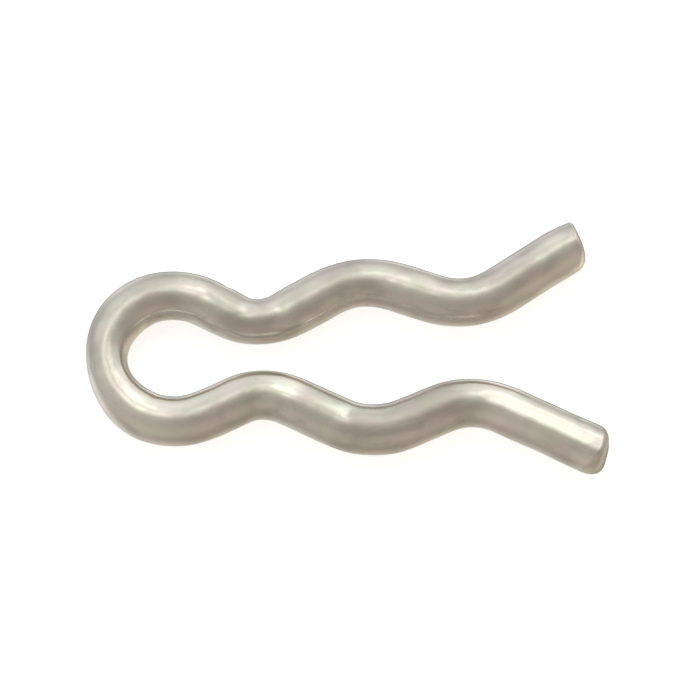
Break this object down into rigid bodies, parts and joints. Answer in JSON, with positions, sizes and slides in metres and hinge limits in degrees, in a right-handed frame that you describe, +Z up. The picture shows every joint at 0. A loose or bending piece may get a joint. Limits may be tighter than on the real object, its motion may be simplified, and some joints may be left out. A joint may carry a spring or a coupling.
{
  "type": "hitch r clip pin",
  "caption": "Hitch clip bent from one round spring wire: a pull eye, two waved legs that grip a shaft in the belly between them, and flared lead-in tips.",
  "frame": {"origin": "centre of the pull eye, on the plane that the clip lies on", "axes": "+X from the eye to the open tips, +Y towards the short leg, +Z up along the eye's axis"},
  "size_m": [0.0417, 0.0215, 0.004],
  "materials": {
    "plated_wire": "smooth bright plating on drawn spring wire"
  },
  "bodies": {
    "root": {"clip_wire": "plated_wire"}
  },
  "joints": []
}
